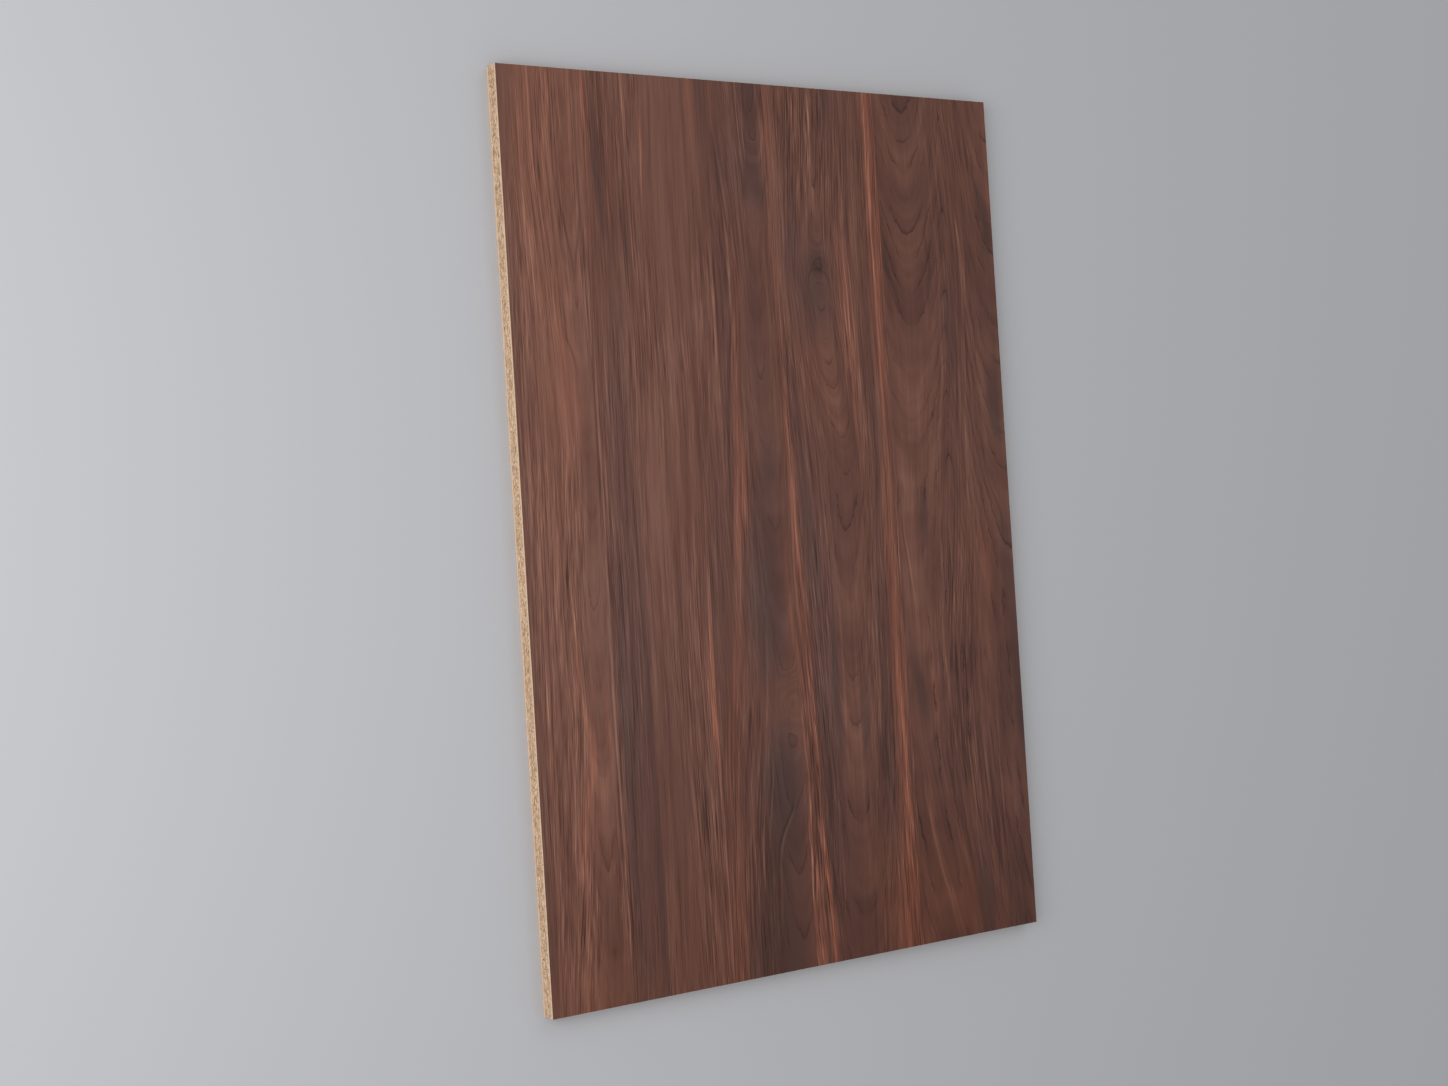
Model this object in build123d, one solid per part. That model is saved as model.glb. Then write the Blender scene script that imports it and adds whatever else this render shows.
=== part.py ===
from build123d import *
import os

# Melamine-faced chipboard panel, a rectangle of stock sawn on all four sides.
# It lies flat with its wood-grain face up. Lengths are in millimetres.
# The origin is on the surface it lies on, under the middle of the panel:
# +X runs across the grain, +Y along the grain and +Z up, out of the grained face.

# The sawn panel
panel_length = 900.0      # along the grain, Y
panel_width = 600.0       # across the grain, X
panel_thickness = 18.0    # over both facings, Z

# The facings, resin-soaked papers pressed onto both sides of the core
decor_thickness = 0.15    # printed wood-grain face, on top
backing_thickness = 0.15  # balancing face, underneath

# Heights of the two glue lines, where the core meets its facings
core_bottom = backing_thickness
core_top = panel_thickness - decor_thickness


def layer(bottom, top):
    """One layer of the board, which the saw has cut flush with the others on all four sides."""
    with BuildPart() as part:
        with BuildSketch(Plane.XY.offset(bottom)):
            Rectangle(panel_width, panel_length)
        extrude(amount=top - bottom)
    return part.part


def backing_face():
    """The balancing paper that keeps the board flat, and the face that it rests on."""
    return layer(0, core_bottom)


def chipboard_core():
    """The pressed mat of wood chips, one piece, whose sawn sides are the board's raw edges."""
    return layer(core_bottom, core_top)


def decor_face():
    """The printed wood-grain paper, which is the face on show."""
    return layer(core_top, panel_thickness)


pieces = {
    "backing_face": backing_face(),
    "chipboard_core": chipboard_core(),
    "decor_face": decor_face(),
}

os.makedirs("parts", exist_ok=True)
for name, piece in pieces.items():
    piece.label = name
    export_step(piece, f"parts/{name}.step")
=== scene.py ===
import math
import random

import bmesh
import bpy
import numpy as np
from mathutils import Matrix, Vector, noise
from mathutils.geometry import delaunay_2d_cdt


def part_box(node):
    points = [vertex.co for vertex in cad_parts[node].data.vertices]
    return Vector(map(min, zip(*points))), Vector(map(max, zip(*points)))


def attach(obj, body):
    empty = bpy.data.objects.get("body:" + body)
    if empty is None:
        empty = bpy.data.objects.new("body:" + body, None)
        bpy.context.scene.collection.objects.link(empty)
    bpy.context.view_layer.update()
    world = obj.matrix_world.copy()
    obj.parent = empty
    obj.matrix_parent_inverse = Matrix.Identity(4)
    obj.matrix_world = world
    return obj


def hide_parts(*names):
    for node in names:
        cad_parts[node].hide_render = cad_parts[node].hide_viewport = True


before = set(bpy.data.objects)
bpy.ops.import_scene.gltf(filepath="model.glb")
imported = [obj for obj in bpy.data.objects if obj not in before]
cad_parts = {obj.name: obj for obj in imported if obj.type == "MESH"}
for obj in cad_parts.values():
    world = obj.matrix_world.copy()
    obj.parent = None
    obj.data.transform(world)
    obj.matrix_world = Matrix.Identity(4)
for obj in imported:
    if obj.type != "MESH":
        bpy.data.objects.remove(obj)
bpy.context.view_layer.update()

# A faced chipboard panel that lies on a pale floor. Places are in metres, in the frame of the
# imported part: +X across the grain, +Y along it, +Z up. The decor's own list of grain marks is in
# millimetres from the panel's far left corner, because a print is laid out like a drawing.

MM = 0.001

BODY = "root"
CORE_LOW, CORE_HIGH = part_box("chipboard_core")
DECOR_LOW, DECOR_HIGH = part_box("decor_face")
BACKING_LOW, BACKING_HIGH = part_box("backing_face")
LEFT, NEAR, UNDERSIDE = BACKING_LOW
RIGHT, FAR, TOP = DECOR_HIGH


def srgb(red, green, blue):
    """A linear colour for shader sockets, from a colour as a picture shows it, 0 to 255."""
    linear = []
    for value in (red, green, blue):
        part = value / 255
        linear.append(part / 12.92 if part <= 0.04045 else ((part + 0.055) / 1.055) ** 2.4)
    return (*linear, 1.0)


# Camera: it stands over the panel's left side, with the grain running up the picture

CAMERA_PLACE = Vector((-1.2160, -0.0102, 1.7618))
CAMERA_AIM = Vector((-0.0733, 0.0245, TOP))
CAMERA_ROLL = math.radians(3.578)
CAMERA_LENS = 51.93      # mm, on a sensor 36 mm wide
CAMERA_SHIFT = -0.0276   # of the picture's width


def make_camera():
    data = bpy.data.cameras.new("camera")
    data.lens = CAMERA_LENS
    data.shift_y = CAMERA_SHIFT
    camera = bpy.data.objects.new("camera", data)
    bpy.context.scene.collection.objects.link(camera)
    ahead = (CAMERA_AIM - CAMERA_PLACE).normalized()
    side = ahead.cross(Vector((0, 1, 0))).normalized()
    up = side.cross(ahead)
    turned = Matrix.Rotation(CAMERA_ROLL, 3, ahead)
    side, up = turned @ side, turned @ up
    pose = Matrix((side, up, -ahead)).transposed().to_4x4()
    camera.matrix_world = Matrix.Translation(CAMERA_PLACE) @ pose
    bpy.context.scene.camera = camera


# Studio: a pale floor, an even sky and large soft lamps

FLOOR_TONE = srgb(176, 177, 181)
FLOOR_HALF = 30.0    # metres from the middle of the floor to its sides
SKY_LEVEL = 0.64
LAMPS = (
    # name, place, power in watts, width and length of its face
    ("key_lamp", (-1.7, 0.1, 1.2), 25.0, 1.4, 1.4),
    ("sheen_lamp", (1.0, 1.9, 2.3), 7.0, 1.6, 1.6),
)


def make_studio():
    floor = bpy.data.objects.new("floor", bpy.data.meshes.new("floor"))
    shape = bmesh.new()
    bmesh.ops.create_grid(shape, x_segments=1, y_segments=1, size=FLOOR_HALF)
    shape.to_mesh(floor.data)
    shape.free()
    floor.location.z = UNDERSIDE
    bpy.context.scene.collection.objects.link(floor)
    paint = Shader("floor_paint")
    paint.set(base=FLOOR_TONE, roughness=0.9, specular=0.2)
    floor.data.materials.append(paint.material)

    world = bpy.data.worlds.new("studio")
    bpy.context.scene.world = world
    world.use_nodes = True
    sky = world.node_tree.nodes["Background"]
    sky.inputs["Color"].default_value = (1, 1, 1, 1)
    sky.inputs["Strength"].default_value = SKY_LEVEL

    for name, place, power, width, length in LAMPS:
        data = bpy.data.lights.new(name, "AREA")
        data.shape = "RECTANGLE"
        data.size, data.size_y = width, length
        data.energy = power
        lamp = bpy.data.objects.new(name, data)
        lamp.location = place
        lamp.rotation_euler = (Vector((0, 0, TOP)) - lamp.location).to_track_quat("-Z", "Y").to_euler()
        bpy.context.scene.collection.objects.link(lamp)


class Shader:
    """A material being built. Its methods add nodes and give back the sockets with their results."""

    def __init__(self, name):
        self.material = bpy.data.materials.new(name)
        self.material.use_nodes = True
        self.tree = self.material.node_tree
        self.surface = self.tree.nodes["Principled BSDF"]

    def put(self, node, values):
        """Gives a node's sockets, by name or number, their values or the sockets that feed them."""
        for name, value in values.items():
            if isinstance(value, bpy.types.NodeSocket):
                self.tree.links.new(value, node.inputs[name])
            elif value is not None:
                node.inputs[name].default_value = value

    def add(self, kind, *values, sockets=None, **settings):
        """A node itself. The values go to its sockets in order, where sockets doesn't name them."""
        node = self.tree.nodes.new(kind)
        for name, value in settings.items():
            setattr(node, name, value)
        self.put(node, sockets or dict(enumerate(values)))
        return node

    def set(self, base, roughness, specular, normal=None):
        self.put(self.surface, {"Base Color": base, "Roughness": roughness,
                                "Specular IOR Level": specular, "Normal": normal})

    def math(self, operation, a, b=None, c=None, clamp=False):
        return self.add("ShaderNodeMath", a, b, c, operation=operation, use_clamp=clamp).outputs[0]

    def times(self, a, b, clamp=False):
        return self.math("MULTIPLY", a, b, clamp=clamp)

    def plus(self, a, b):
        return self.math("ADD", a, b)

    def minus(self, a, b):
        return self.math("SUBTRACT", a, b)

    def scaled(self, value, scale, added):
        """The value times scale, plus what is added."""
        return self.math("MULTIPLY_ADD", value, scale, added)

    def vector(self, operation, a, b=None, c=None):
        node = self.add("ShaderNodeVectorMath", a, b, c, operation=operation)
        return node.outputs["Value" if operation == "LENGTH" else "Vector"]

    def combine(self, x, y, z):
        return self.add("ShaderNodeCombineXYZ", x, y, z).outputs[0]

    def split(self, vector):
        return self.add("ShaderNodeSeparateXYZ", vector).outputs

    def spot(self):
        return self.add("ShaderNodeTexCoord").outputs["Object"]

    def ease(self, value, low, high, to_low=0.0, to_high=1.0):
        """Goes smoothly from to_low at low to to_high at high, and stays there."""
        node = self.add("ShaderNodeMapRange", value, low, high, to_low, to_high,
                        interpolation_type="SMOOTHSTEP")
        return node.outputs[0]

    def noise(self, vector, detail=0.0, roughness=0.5, lacunarity=2.0, output=0):
        sockets = {"Vector": vector, "Scale": 1.0, "Detail": detail, "Roughness": roughness,
                   "Lacunarity": lacunarity}
        return self.add("ShaderNodeTexNoise", sockets=sockets, noise_dimensions="3D").outputs[output]

    def cells(self, vector, output, feature="F1"):
        node = self.add("ShaderNodeTexVoronoi", sockets={"Vector": vector, "Scale": 1.0},
                        voronoi_dimensions="3D", feature=feature)
        return node.outputs[output]

    def ramp(self, value, stops):
        node = self.add("ShaderNodeValToRGB", value)
        elements = node.color_ramp.elements
        while len(elements) < len(stops):
            elements.new(0.5)
        for element, (place, _) in zip(elements, stops):
            element.position = place
        for element, (_, colour) in zip(elements, stops):
            element.color = colour
        return node.outputs["Color"]

    def blend(self, share, first, second, kind="RGBA"):
        a, b, result = {"RGBA": (6, 7, 2), "VECTOR": (4, 5, 1), "FLOAT": (2, 3, 0)}[kind]
        node = self.add("ShaderNodeMix", sockets={0: share, a: first, b: second}, data_type=kind)
        return node.outputs[result]

    def attribute(self, name):
        return self.add("ShaderNodeAttribute", attribute_name=name).outputs["Vector"]

    def bump(self, height, distance):
        sockets = {"Strength": 1.0, "Distance": distance, "Height": height}
        return self.add("ShaderNodeBump", sockets=sockets).outputs["Normal"]


# The walnut print. Places across and down the face are in millimetres from its far left corner.

# The five staves of the print: left edge, tone from 0 dark to 1 light, strength of the ring lines
STAVES = (
    (0.0, 0.62, 0.6),
    (88.8, 0.55, 0.3),
    (204.6, 0.48, 0.6),
    (304.8, 0.48, 0.7),
    (445.2, 0.46, 1.0),
)
STAVE_EDGES = (*(stave[0] for stave in STAVES), (RIGHT - LEFT) / MM)

# Lines that the grain flows along, stave by stave: points with their place down and across
FLOWS = (
    (((0, 36), (100, 37), (200, 46), (300, 54), (400, 53), (500, 50), (620, 52), (700, 45),
      (780, 37), (900, 27)),
     ((0, 70), (200, 72), (330, 74), (440, 70), (520, 66), (640, 70), (760, 68), (900, 62))),
    (((0, 130), (250, 134), (480, 130), (700, 134), (900, 131)),
     ((0, 172), (250, 168), (480, 171), (700, 166), (900, 170))),
    (((0, 240), (60, 240), (110, 247), (160, 253), (210, 258), (260, 256), (300, 251), (400, 247),
      (450, 243), (520, 237), (600, 230), (700, 220), (850, 214), (900, 212)),
     ((0, 268), (120, 274), (300, 275), (480, 284), (540, 291), (640, 284), (760, 268), (900, 262))),
    (((0, 307), (300, 309), (470, 312), (560, 316), (640, 321), (780, 324), (900, 330)),
     ((0, 345), (150, 334), (200, 330), (300, 338), (400, 345), (600, 350), (900, 352)),
     ((0, 395), (150, 388), (200, 393), (300, 396), (420, 400), (600, 396), (900, 390))),
    (((0, 452), (400, 450), (480, 448), (560, 452), (660, 449), (740, 461), (800, 468), (850, 478),
      (900, 494)),
     ((0, 516), (60, 523), (180, 528), (300, 522), (420, 506), (560, 492), (700, 485), (770, 495),
      (860, 515), (900, 524)),
     ((0, 556), (150, 572), (300, 572), (450, 580), (600, 566), (900, 566))),
)

# Hearts of the tree, round which the rings arch: the stave, and then points with their place down,
# across, and how deep below the face the heart lies there. The rings close where it goes deeper.
HEARTS = (
    (1, (0, 70, 3), (192, 71, 9), (400, 75, 15), (655, 70, 26), (830, 71, 33), (900, 72, 36)),
    (2, (0, -180, 30), (900, -180, 48)),
    (3, (0, 287, 7), (45, 288, 12), (130, 285, 20), (300, 280, 27), (600, 292, 40), (900, 290, 56)),
    (4, (0, 361, 2), (136, 363, 8), (183, 361, 11), (260, 364, 20), (380, 381, 36), (500, 374, 43),
     (862, 370, 68), (900, 370, 71)),
    (5, (0, 482, 66), (240, 480, 91), (340, 472, 101), (400, 468, 107.1), (480, 460, 107.1),
     (680, 460, 107.1), (760, 464, 107.1), (900, 488, 107.1)),
    (5, (0, 602, 54), (110, 600, 63), (240, 598, 74), (470, 598, 94), (520, 599, 96.9),
     (700, 601, 96.9), (760, 606, 96.9), (900, 634, 96.9)),
)

# Knots and swirls, round which the rings close: across, down, half width, half length and the
# distance by which they push the rings out
KNOTS = (
    (361.5, 183.0, 22.0, 34.0, 9.0),
    (294.0, 630.0, 26.0, 40.0, 8.0),
    (286.0, 100.0, 20.0, 50.0, 5.0),
)

# Marks of the print. Each is a course down the board: the number of the stave that it keeps to, 0
# for none, and then points with their place down and across, strength and half width. Where a point
# has no half width, that of the point before it goes on.
SHADES = (
    (2, (0, 104, .2, 5), (60, 103, .6, 6), (130, 106, 1, 5), (150, 107, .5, 4)),
    (2, (150, 110, .2, 12), (230, 112, .3, 16), (330, 112, .35, 18), (430, 112, .3),
     (560, 110, .38, 16), (640, 109, .4), (720, 108, .4), (900, 108, .4)),
    # this course darkens the near end: partly the print's own tone, partly painted shade
    (2, (760, 160, .1, 34), (830, 160, .22, 36), (900, 160, .25)),
    (2, (500, 98, .2, 4), (560, 97, .4), (640, 97, .5), (760, 98, .4), (900, 98, .3, 5)),
    (2, (490, 128, .2, 3), (560, 127, .4, 4), (640, 125, .5), (720, 126, .6, 5), (820, 126, .7),
     (900, 125, .5, 6)),
    (2, (145, 130, .3, 4), (175, 130, .5)),
    (1, (0, 2, .4, 8), (450, 2, .3, 7), (900, 2, .4, 8)),
    (1, (780, 71, .2, 5), (800, 70, .5, 9), (840, 72, .3, 10)),
    (3, (0, 229, .35, 7), (30, 229, .25)),
    (3, (0, 286, .55, 16), (30, 287, .5, 14), (60, 284, .35, 12), (95, 285, .75, 15),
     (120, 288, .4, 14)),
    (3, (160, 242, .2, 5), (200, 240, .35, 7), (260, 241, .35, 6), (310, 240, .2, 5)),
    (3, (180, 276, .2, 10), (260, 277, .3, 12), (340, 282, .3, 14), (400, 284, .4)),
    (3, (390, 280, .3, 16), (440, 276, .45, 20), (500, 273, .6, 22), (560, 272, .65, 24),
     (595, 274, .5)),
    (3, (640, 280, .3, 16), (680, 279, .7, 22), (715, 279, .85, 24), (750, 280, .8, 26),
     (800, 274, .7, 32), (850, 262, .85, 42), (900, 262, .92, 46)),
    (4, (10, 334, .3, 6), (80, 332, .5, 8), (150, 330, .45), (180, 328, .4, 10)),
    (4, (165, 358, .3, 16), (185, 358, .6, 20), (215, 357, .65, 24), (245, 357, .4, 22)),
    (4, (0, 382, .6, 6), (30, 380, .4)),
    (4, (310, 320, .45, 6), (360, 322, .5, 7), (420, 326, .5, 9), (500, 334, .5, 14),
     (580, 342, .3, 16), (640, 338, .3, 14), (720, 336, .4), (800, 345, .4, 26), (860, 356, .5, 40),
     (900, 356, .45)),
    (4, (560, 352, .4, 5), (640, 350, .6), (690, 351, .4)),
    (4, (620, 386, .4, 6), (660, 386, .7, 7), (700, 384, .3, 6)),
    (4, (0, 423, .15, 5), (60, 420, .2, 6), (200, 421, .22), (300, 422, .2, 5), (420, 420, .3, 6),
     (560, 414, .45, 10), (700, 412, .5), (800, 414, .3, 8)),
    (5, (215, 530, .4, 8), (250, 532, .55, 9), (290, 532, .45, 8)),
    (5, (100, 585, .5, 6), (115, 588, .8, 8), (140, 593, .9, 6), (160, 588, .5, 7)),
    (5, (300, 586, .5, 10), (325, 587, .85, 12), (360, 590, .7, 9)),
    (5, (435, 481, .5, 5), (455, 480, .7, 7), (475, 481, .35, 6)),
    (5, (585, 451, .3, 5), (620, 457, .7, 8), (650, 463, .6)),
    (5, (460, 591, .5, 10), (540, 592, .5), (600, 595, .4, 8), (680, 597, .9, 7), (705, 597, .5, 5)),
    (5, (810, 530, .4, 10), (850, 532, .6, 14), (900, 534, .5)),
    (5, (780, 590, .2, 14), (840, 586, .45, 20), (900, 584, .5, 24)),
    # this course darkens the near end: partly the print's own tone, partly painted shade
    (5, (780, 550, .15, 30), (840, 552, .3, 34), (900, 552, .3)),
)
LIGHTS = (
    (1, (0, 36, .55, 12), (60, 37, .55), (110, 40, .5, 10), (160, 42, .4, 8)),
    (1, (10, 76, .5, 8), (60, 77, .5), (100, 74, .2)),
    (1, (160, 30, .3, 14), (240, 38, .35, 18), (330, 48, .2, 20), (420, 48, .12, 16),
     (520, 46, .25, 14), (600, 50, .25), (700, 58, .65, 18), (780, 50, .4, 14), (900, 34, .4, 12)),
    (1, (690, 75, .4, 9), (750, 76, .3, 8)),
    (1, (390, 18, .4, 4), (490, 18, .4)),
    (2, (310, 150, .4, 20), (400, 150, .45, 22), (480, 152, .2, 20)),
    (2, (670, 160, .1, 20), (710, 160, .2, 24), (750, 162, .1, 18)),
    (2, (340, 131, .4, 2), (420, 131, .5), (480, 131, .3)),
    (4, (0, 312, .3, 8), (100, 312, .4, 9), (250, 310, .4)),
    (4, (12, 360, .55, 4), (90, 361, .8), (110, 362, .4)),
    (4, (50, 381, .45, 12), (85, 384, .4)),
    (4, (290, 360, .3, 14), (322, 364, .8, 18), (350, 371, .8), (378, 378, .7, 15)),
    (4, (510, 378, .2, 10), (560, 380, .2, 12), (620, 378, .1, 10)),
    (5, (380, 456, .4, 9), (410, 458, .7, 13), (450, 457, .65, 14), (520, 462, .6, 16),
     (570, 466, .5), (600, 474, .3, 10)),
    (5, (335, 490, .3, 12), (350, 484, .55, 16), (370, 478, .3, 12)),
    (5, (400, 508, .4, 3), (430, 505, .6, 4), (450, 503, .3, 3)),
    (5, (70, 529, .4, 3), (100, 533, .5, 4), (150, 552, .5), (180, 554, .3, 3)),
    (5, (145, 574, .4, 3), (160, 576, .4)),
    (5, (750, 464, .5, 4), (790, 467, .75, 5), (840, 480, .85, 6), (900, 498, .7, 7)),
    (5, (590, 516, .1, 24), (660, 522, .28, 30), (720, 526, .28), (770, 540, .1, 24)),
    (5, (710, 486, .4, 4), (770, 494, .6, 5), (820, 510, .6, 6), (850, 518, .4)),
    (5, (110, 494, .3, 28), (150, 494, .65, 32), (200, 494, .65), (240, 494, .3, 28)),
)
WARM_STREAKS = (
    (4, (0, 436, .4, 13), (60, 437, .42, 14), (120, 436, .42), (220, 436, .45, 12), (300, 434, .5, 9),
     (345, 435, .75, 4), (365, 435, .5, 3), (450, 434, .3, 5), (480, 431, .35, 8), (540, 434, .5, 7),
     (600, 433, .5, 8), (660, 433, .55, 6), (720, 434, .45), (790, 434, .3, 8), (900, 436, .3, 9)),
    (4, (0, 440, .4, 8), (200, 440, .35), (300, 440, .3, 7), (320, 440, .25, 6)),
    (3, (0, 216, .4, 7), (40, 216, .35), (70, 214, .2, 6)),
    (3, (0, 239, .4, 3), (20, 240, .6), (48, 240, .4, 2.5)),
    (3, (170, 256, .2, 4), (210, 257, .5, 5), (260, 254, .65), (300, 251, .9, 4.5), (330, 250, .95),
     (370, 249, .7, 8), (430, 247, .8, 10), (465, 241, .6, 6), (500, 238, .5, 5), (540, 235, .5),
     (590, 231, .5, 7), (650, 222, .5, 8), (720, 218, .35), (780, 216, .3, 7), (860, 214, .2, 8),
     (900, 214, .2)),
    (3, (380, 254, .3, 3), (420, 254, .5), (450, 250, .4)),
    (0, (0, 306, .4, 3), (76, 305, .7), (120, 306, .5), (200, 307, .3, 4), (290, 308, .35, 3),
     (340, 308, .5, 6), (400, 309, .6, 7), (460, 311, .75, 6), (500, 313, .8), (560, 315, .75),
     (620, 319, .85, 4), (650, 321, .7), (720, 321, .6, 5), (780, 324, .9), (820, 325, 1),
     (850, 327, .95), (900, 330, .85)),
    (0, (480, 295, .3, 2), (500, 296, .6, 3), (540, 299, .65), (570, 303, .7), (600, 308, .4)),
    (4, (610, 312, .35, 8), (720, 311, .5), (820, 311, .45), (900, 313, .4, 9)),
    (4, (120, 390, .3, 5), (170, 392, .42, 8), (200, 394, .5, 9), (260, 395, .55), (310, 398, .4, 8),
     (400, 402, .25, 4)),
    (4, (380, 432, .3, 11), (480, 433, .4, 13), (600, 432, .4), (700, 430, .35, 14),
     (800, 430, .3, 15), (900, 430, .3, 16)),
    (1, (240, 52, .15, 8), (285, 58, .2, 12), (325, 60, .22, 15), (360, 60, .15, 12),
     (390, 58, .1, 8)),
    (1, (550, 48, .4, 3), (600, 50, .4, 3.5), (640, 62, .5, 5), (668, 61, .4), (720, 46, .5, 4),
     (760, 43, .3)),
    (1, (610, 79, .4, 2.5), (640, 80, .7, 3), (655, 80, .4, 2.5)),
    (2, (10, 93, .5, 4), (60, 93, .5), (100, 91, .4, 3), (190, 90, .3, 2)),
    (0, (540, 200, .5, 4), (590, 199, .85, 6), (650, 199, .9), (690, 201, .5, 3)),
    (0, (790, 212, .15, 8), (850, 212, .25, 9), (900, 212, .3)),
    (2, (55, 154, .4, 2.5), (90, 154, .5), (105, 154, .3, 2)),
    (5, (615, 478, .4, 4), (635, 478, .7), (660, 479, .4)),
    (5, (480, 560, .3, 10), (510, 562, .5), (540, 566, .3, 8)),
    (5, (735, 463, .4, 3), (755, 464, .7), (765, 465, .4)),
    (5, (40, 597, .4, 4), (110, 597, .5, 3)),
    (3, (805, 284, .3, 5), (830, 284, .4)),
)
PALE_LINES = (
    (0, (430, 204, .4, 1.6), (480, 203, .75, 1.8), (540, 202, .8, 2.2), (600, 200, .9, 3.2),
     (650, 200, .85), (690, 202, .8, 2), (730, 203, .7, 1.7), (790, 203, 1), (880, 203.5, .8, 1.6)),
    (3, (180, 228.5, .6, 1.9), (220, 229, .95, 2), (270, 229, .6, 1.8)),
    (4, (10, 432.5, .3, 1.8), (100, 433, .3, 1.9), (190, 434, .6, 1.6), (240, 433.5, .95, 1.8),
     (290, 433.5, .8, 1.7), (340, 434.5, .6, 1.3)),
    (0, (420, 311, .4, 1.3), (440, 311, .8), (475, 312, .6)),
    (4, (600, 320, .5, 1.4), (640, 321, .5), (700, 322, .2), (760, 323, .5, 1.7),
     (800, 324.5, .9, 1.8), (850, 326.5, .8), (895, 328.5, .5)),
    (2, (10, 137, .5, 1.9), (50, 137, .7, 2)),
    (2, (20, 117, .4, 1.4), (120, 118, .3)),
    (0, (290, 89, .35, 1.3), (330, 88, .6), (390, 88, .55), (430, 88, .3), (560, 86.5, .3),
     (620, 86, .45), (660, 87, .6, 1.4), (700, 88, .8), (780, 88.5, .65), (840, 89.5, .7),
     (900, 90.5, .65)),
    (1, (440, 16, .3, 1.4), (520, 16, .35), (600, 14, .35), (700, 13, .4), (780, 12, .25)),
    (1, (430, 23, .3, 1.3), (480, 23, .4), (560, 22, .25)),
    (1, (470, 47, .35, 1.7), (540, 48, .4, 1.9), (600, 50, .25, 1.6)),
    (1, (20, 20, .3, 1.4), (110, 21, .35), (150, 22, .2)),
    (1, (200, 47, .3, 1.4), (250, 50, .35), (270, 52, .3)),
    (2, (470, 119, .3, 1.3), (520, 120, .35), (570, 118, .2)),
    (2, (780, 133, .4, 1.4), (830, 132, .4), (860, 131, .2)),
    (2, (460, 189, .25, 1.3), (560, 191, .35), (620, 192, .25)),
    (2, (330, 136, .4, 1.4), (400, 135, .4), (450, 133, .2)),
    (2, (70, 155, .35, 1.3), (102, 153, .45)),
    (3, (720, 239, .5, 1.4), (770, 237, .5), (815, 238, .3)),
    (3, (775, 248, .45, 1.4), (830, 247, .4)),
    (3, (738, 291, .3, 1.4), (752, 281, .6, 1.7), (768, 272, .7), (790, 268, .6),
     (830, 267, .5, 1.6)),
    (3, (700, 266, .4, 1.3), (730, 261, .5), (760, 257, .4)),
    (3, (180, 250, .3, 1.3), (240, 249, .35), (290, 246, .25)),
    (4, (60, 331, .35, 1.4), (110, 326, .45), (150, 324, .35)),
    (4, (180, 394, .5, 1.3), (230, 397, .6), (280, 396, .4)),
    (4, (200, 401, .3, 1.3), (250, 403, .5), (270, 402, .4)),
    (4, (0, 400, .4, 1.3), (40, 401, .35), (90, 400, .2)),
    (4, (540, 361, .3, 1.3), (610, 361, .4), (650, 360, .3)),
    (4, (560, 344, .3, 1.3), (640, 342, .4), (660, 341, .2)),
    (4, (560, 407, .3, 1.3), (620, 408, .35), (660, 405, .3)),
    (4, (850, 395, .3, 1.3), (880, 394, .5), (900, 393, .4)),
    (4, (780, 345, .3, 1.3), (820, 346, .4), (850, 344, .3)),
    (5, (470, 452, .4, 1.3), (495, 456, .5), (545, 461, .3)),
    (5, (570, 495, .3, 1.3), (620, 498, .4), (690, 503, .35), (740, 498, .2)),
    (5, (480, 513, .3, 1.3), (520, 514, .4), (560, 513, .3)),
    (5, (470, 500, .3, 1.3), (500, 500, .4)),
    (5, (60, 524, .4, 1.3), (100, 527, .4), (130, 529, .3)),
    (5, (140, 550, .4, 1.4), (190, 556, .3)),
    (5, (745, 458, .4, 1.4), (790, 467, .5, 1.6), (830, 475, .5), (860, 486, .3, 1.4)),
    (5, (780, 525, .3, 1.3), (815, 528, .4)),
    (5, (300, 518, .5, 1.4), (330, 513, .4), (360, 507, .2)),
    (5, (680, 563, .3, 1.4), (740, 563, .5, 1.6), (810, 566, .3, 1.4)),
    (4, (660, 434, .6, 1.4), (700, 434, .5, 1.3), (770, 434, .3, 1.2)),
    (4, (10, 359.5, .5, 1.6), (60, 360, .6), (100, 361, .6, 1.5)),
)
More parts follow.
